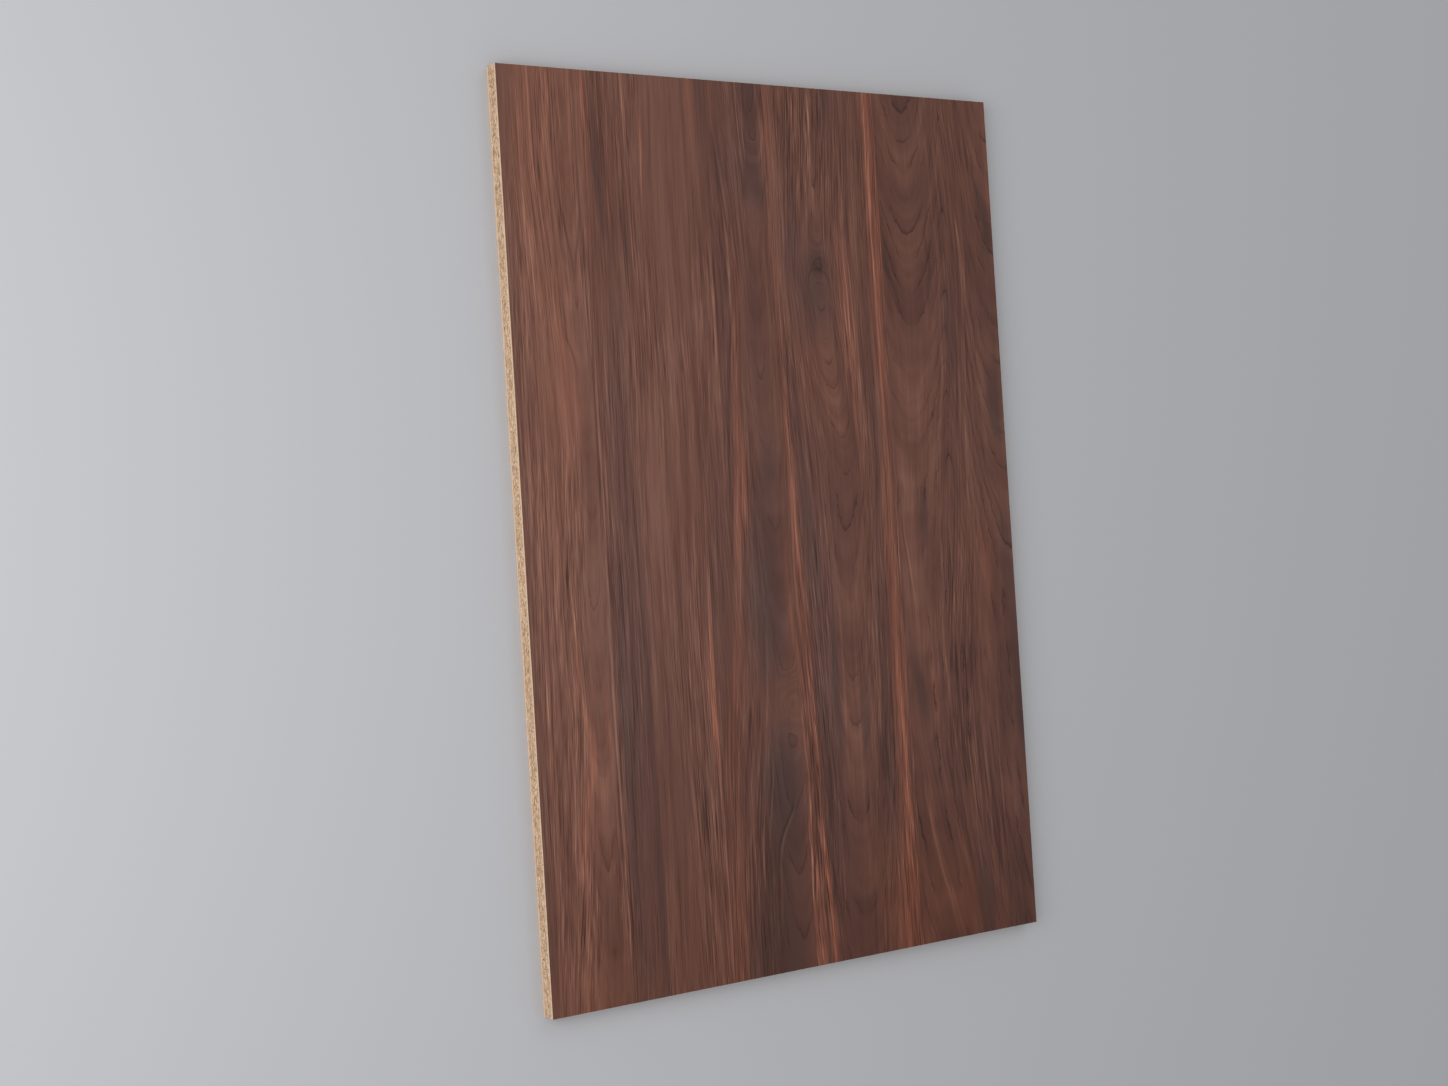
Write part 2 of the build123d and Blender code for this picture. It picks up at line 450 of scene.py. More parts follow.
DARK_LINES = (
    (1, (90, 54, .5, 1.8), (140, 62, .6), (180, 69, .7, 1.9), (192, 71, .5)),
    (1, (150, 80, .4, 1.8), (180, 75, .6), (192, 72, .5, 1.9)),
    (1, (0, 82, .5, 1.5), (100, 82, .5), (180, 83, .3, 1.2)),
    (0, (60, 91, .35, 1.2), (140, 90, .35), (240, 88, .4), (300, 86, .75, 1.3), (400, 85, .7),
     (500, 89, .2, 1.2), (600, 89, .35), (660, 90, .4), (700, 91, .5), (900, 92.5, .5)),
    (0, (600, 83.5, .3, 1.1), (680, 85, .5), (800, 86, .4), (900, 88, .4)),
    (2, (20, 168, .5, 1.2), (60, 166, .45), (100, 163, .3)),
    (2, (80, 156.5, .3, 1), (104, 155, .6)),
    (2, (100, 132, .5, 1.2), (150, 131, .6, 1.4), (180, 130, .5, 1.2)),
    (2, (0, 115.5, .4, 1.1), (50, 116, .35)),
    (2, (430, 124, .4, 1.2), (470, 124, .6, 1.3), (500, 123, .75, 1.4), (560, 124, .5, 1.2)),
    (0, (470, 205.5, .3, 1.1), (560, 204.5, .5), (640, 203.5, .5, 1.2), (760, 205.5, .4, 1.1),
     (880, 205.5, .3)),
    (3, (190, 232, .5, 1.1), (230, 232.5, .6), (270, 232, .5), (330, 233, .3)),
    (3, (190, 246, .4, 1.2), (250, 247, .4), (310, 242, .4)),
    (4, (20, 358.5, .4, 1), (60, 358.8, .5), (100, 362.5, .4)),
    (4, (60, 436.5, .35, 1), (100, 437, .5), (150, 436, .3)),
    (0, (20, 445.5, .5, 1.2), (60, 446, .4), (140, 445.5, .3)),
    (4, (300, 416, .3, 1.2), (360, 420, .4), (430, 418, .3)),
    (4, (560, 410, .35, 1.2), (640, 409, .35), (720, 411, .3)),
    (4, (500, 352, .3, 1.1), (560, 352, .4), (620, 353, .3)),
    (4, (850, 383, .4, 1.1), (880, 382, .5), (900, 381, .4)),
    (5, (470, 503, .4, 1.1), (500, 503, .4)),
    (5, (490, 517, .4, 1.1), (560, 516, .4)),
    (5, (560, 488, .3, 1.2), (640, 490, .35), (700, 498, .35), (760, 506, .3)),
    (5, (720, 561, .35, 1.1), (800, 563, .4), (850, 567, .3)),
    (5, (755, 446, .4, 1.2), (780, 450, .5, 1.5), (810, 458, .4)),
    (5, (740, 462.5, .3, 1.1), (780, 471, .4), (840, 484, .4)),
    (5, (855, 448, .5, 1.5), (875, 454, .5, 1.6), (895, 462, .4, 1.5)),
    (5, (465, 449, .5, 1.1), (490, 453, .4), (530, 456.5, .3)),
    (1, (256, 57, .5, 1.5), (284, 68, .5, 1.6)),
    (3, (340, 236, .4, 2), (430, 236, .5)),
    (3, (734, 290, .5, 2), (750, 278, .7), (770, 268, .6), (790, 266, .4)),
    (5, (120, 511, .3, 1.9), (150, 503, .45, 2), (185, 510, .5), (212, 504, .4)),
    (5, (40, 566, .4, 1.6), (104, 583, .6, 1.9)),
    (5, (380, 566, .4, 1.5), (420, 573, .6, 1.8), (452, 588, .5, 1.9)),
    (5, (186, 449, .7, 3), (200, 456, .5, 1.8), (228, 467, .6)),
)

# Soft ovals where the wood has more warmth, or is cooler where the strength is below zero: across,
# down, half width, half length and strength. The last two lay painted warm bounce light over the near end.
TINTS_AND_WARM_BOUNCE = (
    (50, 20, 110, 330, 1.3),
    (45, 340, 50, 190, 0.6),
    (45, 760, 60, 240, 0.5),
    (102, 480, 60, 420, -0.9),
    (104, 600, 30, 150, -0.6),
    (160, 560, 70, 260, -0.6),
    (265, 88, 60, 70, -0.8),
    (250, 330, 50, 160, -0.6),
    (216, 500, 34, 220, -0.9),
    (265, 520, 40, 150, -1.9),
    (270, 712, 44, 80, -1.8),
    (334, 200, 34, 90, -0.7),
    (340, 20, 70, 150, 0.9),
    (362, 300, 44, 80, 0.5),
    (345, 480, 60, 190, -0.9),
    (334, 626, 30, 90, -1.2),
    (440, 80, 60, 260, 0.9),
    (430, 760, 50, 260, 0.7),
    (560, 60, 90, 260, 0.9),
    (545, 560, 50, 170, 0.4),
    # painted warm bounce light over the near end
    (300, 930, 620, 230, 1.9),
    (520, 930, 240, 260, 2.0),
)

# Soft ovals where the fine fibres show more, or less where the strength is below zero
FINENESS = (
    (45, 450, 74, 640, 0.5),
    (52, 325, 44, 110, -1.0),
    (67, 820, 44, 200, 0.7),
    (186, 80, 46, 240, -0.9),
    (150, 400, 50, 140, -0.6),
    (190, 380, 30, 120, -0.4),
    (150, 720, 50, 170, -0.6),
    (190, 720, 34, 320, 0.7),
    (222, 50, 34, 130, -0.6),
    (224, 540, 34, 150, -0.5),
    (355, 50, 50, 130, 0.9),
    (320, 800, 40, 240, 0.8),
    (375, 700, 76, 340, 0.8),
    (485, 600, 64, 440, 0.85),
    (552, 600, 34, 130, -0.4),
)

WOOD_TONES = (
    (0.00, srgb(45, 22, 16)),
    (0.25, srgb(69, 38, 29)),
    (0.50, srgb(94, 58, 47)),
    (0.75, srgb(118, 79, 65)),
    (1.00, srgb(144, 102, 86)),
)
# What each kind of mark does to the light that the wood gives back: red, green and blue
SHADE_GAIN = (0.52, 0.575, 0.68)
LIGHT_GAIN = (1.30, 1.36, 1.36)
WARM_GAIN = (1.60, 1.41, 1.28)
PALE_GAIN = (1.95, 2.10, 2.05)
LINE_GAIN = (0.45, 0.46, 0.50)
TINT_STEP = (0.045, -0.025, -0.095)   # added to 1, times a tint's strength
UNCHANGED = (1.0, 1.0, 1.0)

# The print gets a little lighter on from its far end, and darker towards its near end: partly its
# own tone, and partly painted light and painted shade for how the light falls off along the board
MIDDLE_PAINTED_LIGHT = 0.035
NEAR_END_PAINTED_SHADE = 0.11

KNOT_PLACE = KNOTS[0][:2]
KNOT_SIZE = (4.6, 6.2)
KNOT_REACH = 3.0     # times its size, how far out the knot's tones go
# What the knot does to the light given back, by the distance from its middle
KNOT_GAINS = (
    (0.00, (0.62, 0.62, 0.62, 1.0)),
    (0.14, (0.78, 0.78, 0.78, 1.0)),
    (0.28, (0.48, 0.48, 0.50, 1.0)),
    (0.38, (0.56, 0.56, 0.58, 1.0)),
    (0.52, (0.82, 0.82, 0.83, 1.0)),
    (0.80, (0.90, 0.90, 0.90, 1.0)),
    (1.00, (1.0, 1.0, 1.0, 1.0)),
)

MARK_FADE = 28.0     # mm by which a mark fades out past its ends
MARK_FULL = 0.3      # half widths from its middle up to which a mark is at its full strength
MARK_END = 1.3       # half widths from its middle at which it has faded out
WOBBLE = 2.6         # mm by which a mark's course wanders
WAVE = 3.5           # mm by which the grain's lines wander
HEART_BLEND = 2.5    # mm over which the rings of two hearts run into one another
RING_SPACING = 3.4   # mm from the dark line of one year to the next
PORE_DEPTH = 0.00006     # metres


def course(points, downs, column=1, reach=6):
    """A value of a course at each place down the board. reach says how far its corners are rounded."""
    table = np.array(points, dtype=float)
    kernel = np.hanning(2 * reach + 3)[1:-1]
    straight = np.interp(downs, table[:, 0], table[:, column])
    return np.convolve(np.pad(straight, reach, "edge"), kernel / kernel.sum(), "valid")[:, None]


def mark_courses(marks, number, downs):
    """The marks that a stave has: each one's place across, strength and half width down the board."""
    for stave, *points in marks:
        if stave in (0, number):
            table = []
            for down, across, strength, *width in points:
                half_width = width[0] if width else half_width
                table.append((down, across, strength, half_width))
            down, across, _, half_width = table[0]
            table.insert(0, (down - MARK_FADE, across, 0.0, half_width))
            down, across, _, half_width = table[-1]
            table.append((down + MARK_FADE, across, 0.0, half_width))
            yield [course(table, downs, column, reach=3) for column in (1, 2, 3)]


def rounded(share):
    """A share of 0 to 1 that starts and ends gently."""
    return share * share * (3.0 - 2.0 * share)


def mark_strength(marks, number, across, downs):
    """How strong these marks are at a grid of places in one stave: rows go down, columns across."""
    total = np.zeros_like(across)
    for middle, strength, half_width in mark_courses(marks, number, downs):
        share = np.clip(MARK_END - np.abs(across - middle) / half_width, 0.0, 1.0)
        total += strength * rounded(share)
    return np.clip(total, 0.0, 1.0)


def spot_strength(spots, across, downs):
    """Soft oval spots, each of them at full strength in its middle and nothing at its rim."""
    total = np.zeros_like(across)
    for middle, down, half_width, half_length, amount in spots:
        reach = np.hypot((across - middle) / half_width, (downs[:, None] - down) / half_length)
        total += amount * rounded(np.clip(1.0 - reach, 0.0, 1.0))
    return total


def at_corners(values):
    """What a grid holds at its places, as what each of its faces holds at its four corners."""
    return np.stack((values[1:, :-1], values[1:, 1:], values[:-1, 1:], values[:-1, :-1]), axis=2)


def line_values(lines, number, acrosses, downs):
    """Each face's nearest line: how many half widths away it runs at the corners, and its strength."""
    nearest = np.full((len(downs) - 1, len(acrosses) - 1), np.inf)
    values = np.zeros((*nearest.shape, 4, 2))
    for middle, strength, half_width in mark_courses(lines, number, downs):
        away = acrosses[None, :] - middle
        distance = np.abs(at_corners(away)).mean(axis=2)
        distance[strength[1:, 0] + strength[:-1, 0] == 0.0] = np.inf
        nearer = distance < nearest
        nearest[nearer] = distance[nearer]
        both = np.stack((away / half_width, strength + 0 * away), axis=-1)
        values[nearer] = at_corners(both)[nearer]
    return values


def grain_flow(number, across, downs):
    """The place across at which the line of the grain through each place would start if straight."""
    start, stop = STAVE_EDGES[number - 1:number + 1]
    flows = [course(points, downs)[:, 0] for points in FLOWS[number - 1]]
    level = [start, *(flow.mean() for flow in flows), stop]
    rows = [np.interp(across[row], [start, *(flow[row] for flow in flows), stop], level)
            for row in range(len(downs))]
    return np.array(rows)


def ring_distance(number, across, downs):
    """Distance from the nearest heart of the tree, and how squarely the cut crosses the rings."""
    nearness, leaning = 0.0, 0.0
    for stave, *points in HEARTS:
        if stave == number:
            side = across - course(points, downs)
            distance = np.hypot(side, course(points, downs, column=2))
            share = np.exp(-distance / HEART_BLEND)
            nearness = nearness + share
            leaning = leaning + share * np.abs(side) / distance
    return -HEART_BLEND * np.log(nearness), leaning / nearness


def print_values(number, acrosses, downs):
    """What the print does at a grid of places in one stave: three marks and five of its grain."""
    def wander(width, length, seed):
        """A slow noise of about width by length in millimetres for a wave."""
        return np.array([[noise.noise((across / width, down / length, seed * number))
                          for across in acrosses] for down in downs])

    across = acrosses[None, :] + 0 * downs[:, None]
    marked = across + WOBBLE * wander(40, 90, 3.7)
    marks = [mark_strength(marks, number, marked, downs) for marks in (SHADES, LIGHTS, WARM_STREAKS)]
    rings, crossing = ring_distance(number, marked, downs)
    rings = rings + spot_strength(KNOTS, across, downs)
    flow = grain_flow(number, across, downs) + WAVE * wander(55, 210, 9.1)
    tints_and_bounce, fineness = (spot_strength(spots, across, downs) for spots in (TINTS_AND_WARM_BOUNCE, FINENESS))
    return np.stack((*marks, flow - across, rings, tints_and_bounce, crossing, 1.0 + fineness), axis=-1)


class PrintShader(Shader):
    """The shader of a printed sheet, with where each spot is on the print and what lies there."""

    def __init__(self, name, turned):
        super().__init__(name)
        # across and down in millimetres from the corner
        stretch = ((-1 if turned else 1) / MM, -1 / MM, 0.0)
        corner = ((RIGHT if turned else -LEFT) / MM, FAR / MM, 0.0)
        place = self.vector("MULTIPLY_ADD", self.spot(), stretch, corner)
        self.across, self.down, _ = self.split(place)
        self.marks = self.split(self.attribute("marks"))
        self.shift, self.rings, self.warmth_and_bounce = self.split(self.attribute("grain"))
        *self.pale, self.crossing = self.split(self.attribute("pale"))
        *self.dark, self.fineness = self.split(self.attribute("dark"))
        self.stave_tone, self.line_strength, self.seed = self.split(self.attribute("stave"))

    def grain(self, width, length, side, **settings):
        """Noise drawn out along the grain: about width by length in millimetres for a wave."""
        place = self.combine(self.times(side, 1 / width), self.times(self.down, 1 / length), self.seed)
        return self.noise(place, **settings)

    def spread(self, value, amount):
        """A noise of 0 to 1 as minus amount to plus amount."""
        return self.scaled(value, 2 * amount, -amount)


def wood_grain(shader):
    """Bands of tone that follow the rings, lines at their ends, fibres, pores and hairs."""
    flow = shader.plus(shader.across, shader.shift)
    # flat-cut places have jagged arches and few fibres, quarter-cut ones straight fibres
    straight = shader.ease(shader.crossing, 0.20, 0.70, 0.35, 1.0)
    calm = shader.ease(shader.grain(38, 150, flow, detail=1.0), 0.36, 0.64, 0.8, 1.2)
    straight = shader.times(shader.times(straight, calm), shader.fineness)
    flat_cut = shader.times(shader.ease(shader.crossing, 0.85, 0.25),
                            shader.ease(shader.crossing, 0.0, 0.35, 0.35, 1.0))
    jagged = shader.spread(shader.grain(6, 12, shader.across, detail=2.0), 1.1)
    rings = shader.plus(shader.rings, shader.times(jagged, flat_cut))
    bands = shader.grain(13, 300, rings, detail=3.0, roughness=0.72, lacunarity=2.4)

    # a year's growth darkens slowly and ends in a thin dark line
    year = shader.math("FRACT", shader.times(rings, 1 / RING_SPACING))
    ending = shader.times(shader.ease(year, 0.86, 0.96), shader.ease(year, 1.0, 0.975))
    line = shader.scaled(shader.ease(year, 0.40, 0.96), 0.32, ending)
    fade = shader.ease(shader.grain(9, 45, rings, detail=1.0), 0.40, 0.62)
    line = shader.times(line, shader.times(fade, shader.line_strength))

    def along(width, length, **settings):
        """Fine noise of -1 to 1 along the flow, which shows less in flat-cut places."""
        return shader.times(shader.spread(shader.grain(width, length, flow, **settings), 1.0), straight)

    # fibres, pores, which are short and narrow, and hairs, which are few and long
    fibres = along(4.6, 210, detail=3.0, roughness=0.8, lacunarity=2.2)
    pores = along(0.9, 42, detail=1.5, roughness=0.7)
    hairs = along(1.3, 110, detail=1.0, roughness=0.6)
    return bands, line, fibres, pores, hairs


def put_marks(shader, colour, bands, fibres):
    """The marks of the print, which the grain breaks up, its slow changes of warmth, and painted warm
    bounce light at its near end.
    """
    pale, dark = (
        shader.times(shader.ease(shader.math("ABSOLUTE", distance), MARK_END, MARK_FULL), strength)
        for distance, strength in (shader.pale, shader.dark))
    frayed = shader.scaled(fibres, 0.9, 1.0)
    streaky = shader.plus(frayed, shader.spread(bands, 0.25))
    broken = shader.plus(shader.scaled(fibres, 1.3, 1.0), shader.spread(bands, 0.75))
    rims = (broken, broken, streaky, frayed, frayed)
    gains = (SHADE_GAIN, LIGHT_GAIN, WARM_GAIN, PALE_GAIN, LINE_GAIN)
    for mark, rim, gain in zip((*shader.marks, pale, dark), rims, gains):
        strength = shader.times(mark, rim, clamp=True)
        tint = shader.blend(strength, UNCHANGED, gain, kind="VECTOR")
        colour = shader.vector("MULTIPLY", colour, tint)
    # the print's tints, with the painted warm bounce light at the near end
    warmth_and_bounce = shader.combine(shader.warmth_and_bounce, shader.warmth_and_bounce, shader.warmth_and_bounce)
    return shader.vector("MULTIPLY", colour, shader.vector("MULTIPLY_ADD", warmth_and_bounce, TINT_STEP, UNCHANGED))


def put_knot(shader, colour):
    """The one small knot: a dark ring with a lighter middle."""
    eye = shader.vector("MULTIPLY_ADD", shader.combine(shader.across, shader.down, 0.0),
                        (1 / KNOT_SIZE[0], 1 / KNOT_SIZE[1], 0.0),
                        (-KNOT_PLACE[0] / KNOT_SIZE[0], -KNOT_PLACE[1] / KNOT_SIZE[1], 0.0))
    uneven = shader.spread(shader.grain(4.0, 5.0, shader.across, detail=1.0), 0.7)
    reach = shader.times(shader.plus(shader.vector("LENGTH", eye), uneven), 1 / KNOT_REACH)
    return shader.vector("MULTIPLY", colour, shader.ramp(reach, KNOT_GAINS))


def walnut_print(name, turned):
    """The printed walnut under satin melamine. The turned one is the underside's, seen from below."""
    shader = PrintShader(name, turned)
    bands, line, fibres, pores, hairs = wood_grain(shader)
    dark_pores = shader.ease(pores, 0.10, 0.50)
    # pale pores: partly the print's light dashes, partly painted glints of light in the pores
    pale_pores_and_glints = shader.ease(pores, -0.10, -0.50)
    dark_hairs = shader.ease(hairs, 0.17, 0.33)
    pale_hairs = shader.ease(hairs, -0.17, -0.33)

    weight = shader.ease(shader.crossing, 0.75, 0.25, 0.56, 0.88)
    tone = shader.scaled(shader.spread(bands, 0.50), weight, shader.stave_tone)
    for detail, share in (
            (fibres, 0.38), (line, -0.24), (dark_pores, -0.25), (pale_pores_and_glints, 0.22),
            (dark_hairs, -0.16), (pale_hairs, 0.12)):
        tone = shader.scaled(detail, share, tone)
    # painted light in the middle of the board and painted shade towards its near end, on top of the
    # print's own slow change of tone
    tone = shader.plus(tone, shader.ease(shader.down, 20.0, 240.0, 0.0, MIDDLE_PAINTED_LIGHT))
    tone = shader.minus(tone, shader.ease(shader.down, 500.0, 880.0, 0.0, NEAR_END_PAINTED_SHADE))
    colour = put_marks(shader, shader.ramp(tone, WOOD_TONES), bands, fibres)
    colour = put_knot(shader, colour)

    relief = shader.scaled(dark_pores, -1.0, shader.times(fibres, 0.3))
    gloss = shader.scaled(fibres, -0.05, 0.47)
    shader.set(base=colour, roughness=shader.scaled(dark_pores, 0.12, gloss), specular=0.3,
               normal=shader.bump(relief, PORE_DEPTH))
    return shader.material


def plain_layer(name, dark, light, wave):
    """A matt surface in two near tones that change slowly from place to place, wave in metres."""
    shader = Shader(name)
    cloud = shader.noise(shader.vector("MULTIPLY", shader.spot(), (1 / wave,) * 3), detail=1.0)
    shader.set(base=shader.ramp(cloud, ((0.3, dark), (0.7, light))), roughness=0.7, specular=0.3)
    return shader.material


# The sawn edge: chips in millimetres, coarse in the middle of the board and fine near its faces

CHIP_TONES = (
    (0.00, srgb(142, 106, 76)),
    (0.22, srgb(182, 146, 113)),
    (0.50, srgb(208, 177, 147)),
    (0.78, srgb(222, 195, 167)),
    (1.00, srgb(236, 215, 192)),
)
# painted shade inside the gaps between chips
GAP_SHADE_TONE = srgb(116, 82, 54)
SPECK_TONE = srgb(112, 76, 50)
# painted shade in the holes between coarse chips
PIT_SHADE_TONE = srgb(66, 45, 30)
FINE_LAYER = 2.4     # mm, how deep the fine chips go below each face
CHIP_DEPTH = 0.00018     # metres, the small relief that is left to the shader


def chipboard(name):
    """Sawn chipboard: coarse chips in the middle of the board and fine ones near its two faces."""
    shader = Shader(name)
    along, pit, _ = shader.split(shader.attribute("sawn"))
    middle = (CORE_LOW.z + CORE_HIGH.z) / 2 / MM
    half = (CORE_HIGH.z - CORE_LOW.z) / 2 / MM
    height = shader.scaled(shader.split(shader.spot())[2], 1 / MM, -middle)

    # chips lie flat in the board, with a slight lean that changes along it and with uneven sides
    lean = shader.noise(shader.combine(shader.times(along, 1 / 9), height, 3.0), detail=1.0)
    place = shader.combine(shader.times(along, 1 / 1.3), shader.times(height, 1 / 0.6), 11.0)
    push, lift, _ = shader.split(shader.noise(place, detail=2.0, output=1))
    pushed = shader.scaled(push, 3.0, along)
    leaning = shader.scaled(lift, 1.1, shader.scaled(lean, 1.8, height))
    # the lean and the lift are 1.45 on average, which is taken off again
    depth = shader.minus(half, shader.math("ABSOLUTE", shader.minus(leaning, 1.45)))
    fine = shader.ease(depth, FINE_LAYER + 0.7, FINE_LAYER - 0.7)

    def laid(length, thickness, seed):
        """Places for a texture whose cells are about length along the board and as thick as given."""
        return shader.combine(shader.times(pushed, 1 / length), shader.times(leaning, 1 / thickness), seed)

    def shades(*size):
        """Two shades of 0 to 1 for each chip of this size."""
        return shader.split(shader.cells(laid(*size), "Color"))[:2]

    coarse_chips = (5.6, 1.0, 0.0)
    coarse_shade, coarse_turn = shades(*coarse_chips)
    small_shade, small_turn = shades(1.5, 0.42, 5.0)
    grit_shade, grit_turn = shades(0.7, 0.26, 9.0)
    edge = shader.cells(laid(*coarse_chips), "Distance", feature="DISTANCE_TO_EDGE")
    fibre = shader.noise(laid(3.0, 0.13, 7.0), detail=2.0, roughness=0.65)

    # in the middle some places show whole chips, others their broken ends
    whole = shader.ease(coarse_turn, 0.30, 0.45)
    coarse = shader.blend(whole, small_shade, coarse_shade, kind="FLOAT")
    coarse = shader.scaled(coarse, 0.72, shader.times(small_shade, 0.14))
    calm = shader.scaled(grit_shade, 0.34, shader.times(small_shade, 0.14))
    tone = shader.blend(fine, coarse, shader.plus(calm, 0.32), kind="FLOAT")
    tone = shader.scaled(fibre, 0.44, shader.minus(tone, 0.17))
    colour = shader.ramp(tone, CHIP_TONES)

    # gaps open here and there between chips, with painted shade in them; dark chips are many in the
    # middle, few near the faces
    coarse_share = shader.minus(1.0, fine)
    opened = shader.noise(laid(2.2, 0.7, 15.0), detail=1.0)
    gap = shader.times(shader.ease(edge, 0.10, 0.01), shader.ease(opened, 0.46, 0.62))
    gap = shader.times(gap, coarse_share)
    colour = shader.blend(shader.times(gap, 0.8), colour, GAP_SHADE_TONE)
    dark_small = shader.ease(small_turn, 0.86, 0.90)
    dark_grit = shader.times(shader.ease(grit_turn, 0.90, 0.94), 0.6)
    speck = shader.blend(fine, dark_small, dark_grit, kind="FLOAT")
    speck = shader.times(speck, shader.ease(fibre, 0.25, 0.70, 0.35, 0.85))
    colour = shader.blend(speck, colour, SPECK_TONE)
    # the pits are darkened by how deep they lie: painted shade in the holes between chips
    colour = shader.blend(shader.ease(pit, 0.15, 0.9, 0.0, 0.55), colour, PIT_SHADE_TONE)

    relief = shader.scaled(coarse, coarse_share, shader.times(gap, -1.0))
    relief = shader.scaled(fibre, 0.6, relief)
    shader.set(base=colour, roughness=0.86, specular=0.2, normal=shader.bump(relief, CHIP_DEPTH))
    return shader.material


# Meshes of the pieces

COLUMN = 1.5         # mm between a facing's columns of faces
ROW = 5.0            # mm between its rows
NICK = 0.22          # mm, how far a facing's rim is broken back at most
CHIP_COLUMN = 1.25   # mm between the columns of faces along the sawn sides of the core
CHIP_ROW = 0.7       # mm between their rows
PIT_DEPTH = 0.55     # mm, how deep the holes between coarse chips go
PIT_FADE = 3.0       # mm from the board's corners within which the holes get shallower
PIT_SIZE = (4.2, 1.1)    # mm along the board and through it
PIT_SHARE = 0.28     # of the coarse chips, how many have broken out
CAP_SPACING = 0.1    # metres between the points that are added to fill a flat hidden face

# Shares of a map: the rims round its patches, the strips of a facing's map, and in the core's map
# the strip of the flat faces and the bands in which the sawn sides lie one above the other
MAP_RIM = 0.004
GLUED_STRIP = (0.004, 0.016)
BAND_STRIP = (0.020, 0.024)
OUTER_STRIP = (0.030, 0.996)
FLAT_STRIP = (0.004, 0.044)
SAWN_STRIP = (0.05, 0.996)
SAWN_BANDS = 12
BAND_GAP = 0.006


def make_piece(name, points, faces, materials, picks, maps):
    """A piece that rides on the body. picks are its faces' materials, maps its corners' places."""
    mesh = bpy.data.meshes.new(name)
    mesh.from_pydata(points, [], faces)
    for material in materials:
        mesh.materials.append(material)
    mesh.polygons.foreach_set("material_index", picks)
    layer = mesh.uv_layers.new(name="OFBake")
    layer.uv.foreach_set("vector", np.asarray(maps, dtype=np.float32).ravel())
    mesh.update()
    piece = bpy.data.objects.new(name, mesh)
    bpy.context.scene.collection.objects.link(piece)
    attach(piece, BODY)
    return piece


def put_values(piece, name, domain, values):
    """Keeps three values for each of the first faces or corners of a piece, and none for the rest."""
    layer = piece.data.attributes.new(name, "FLOAT_VECTOR", domain)
    whole = np.zeros((len(layer.data), 3), dtype=np.float32)
    whole[:len(values)] = values
    layer.data.foreach_set("vector", whole.ravel())


def fill(rim, first, height):
    """Fills a closed rim, whose points have the numbers from first on. Gives points and triangles."""
    rim_low, rim_high = np.min(rim, axis=0), np.max(rim, axis=0)
    columns, rows = np.round((rim_high - rim_low) / CAP_SPACING).astype(int)
    inside = [tuple(rim_low + (column * CAP_SPACING, row * CAP_SPACING))
              for row in range(1, rows) for column in range(1, columns)]
    spots = [Vector(spot) for spot in (*rim, *inside)]
    edges = [(number, (number + 1) % len(rim)) for number in range(len(rim))]
    _, _, faces, origins, _, _ = delaunay_2d_cdt(spots, edges, [], 1, 1e-9)
    triangles = [[first + origins[corner][0] for corner in face] for face in faces]
    return [(*spot, height) for spot in inside], triangles


def strip_map(x, y, strip, start=MAP_RIM, end=1 - MAP_RIM):
    """A place on the board as a place in one strip of a map."""
    u = start + (x - LEFT) / (RIGHT - LEFT) * (end - start)
    v = strip[0] + (y - NEAR) / (FAR - NEAR) * (strip[1] - strip[0])
    return u, v


def stave_columns():
    """Where a sheet's columns of faces start and stop across the print, and each one's stave."""
    acrosses, numbers = [0.0], []
    for number, (start, stop) in enumerate(zip(STAVE_EDGES, STAVE_EDGES[1:]), 1):
        count = round((stop - start) / COLUMN)
        acrosses += list(np.linspace(start, stop, count + 1)[1:])
        numbers += [number] * count
    return np.array(acrosses), np.array(numbers)


def nicked_grid(name, acrosses, downs, turned):
    """The places of a sheet's grid in metres, with small nicks round its rim."""
    ends, sides = len(acrosses), len(downs)
    chance = random.Random(name)
    nicks = [max(0.0, chance.gauss(0.0, NICK / 2.5)) for _ in range(2 * (sides + ends))]
    nicks = np.clip(nicks, 0.0, NICK) * MM
    left, right, far, near = np.split(nicks, (sides, 2 * sides, 2 * sides + ends))
    xs = LEFT + MM * acrosses[None, :] + 0 * downs[:, None]
    ys = FAR - MM * downs[:, None] + 0 * acrosses[None, :]
    xs[:, 0] += left
    xs[:, -1] -= right
    ys[0, :] -= far
    ys[-1, :] += near
    if turned:
        xs = LEFT + RIGHT - xs
    return zip(xs.ravel(), ys.ravel())


def put_print(piece, acrosses, numbers, downs, turned):
    """Keeps what the print does at each corner of the grid, in each face's own corner order."""
    rows = len(downs) - 1
    corners = np.zeros((rows, len(numbers), 4, 12))
    for number in range(1, len(STAVES) + 1):
        mine = np.flatnonzero(numbers == number)
        sides = acrosses[mine[0]:mine[-1] + 2]
        values = at_corners(print_values(number, sides, downs))
        pale, dark = (line_values(lines, number, sides, downs) for lines in (PALE_LINES, DARK_LINES))
        values = (values[..., :6], pale, values[..., 6:7], dark, values[..., 7:])
        corners[:, mine] = np.concatenate(values, axis=-1)
    corners = corners.reshape(-1, 12)
    for place, name in enumerate(("marks", "grain", "pale", "dark")):
        put_values(piece, name, "CORNER", corners[:, 3 * place:3 * place + 3])
    seed = 71.0 if turned else 0.0
    tones = np.array([(*stave[1:], seed + 7.3 * number) for number, stave in enumerate(STAVES)])
    put_values(piece, "stave", "FACE", np.tile(tones[numbers - 1], (rows, 1)))


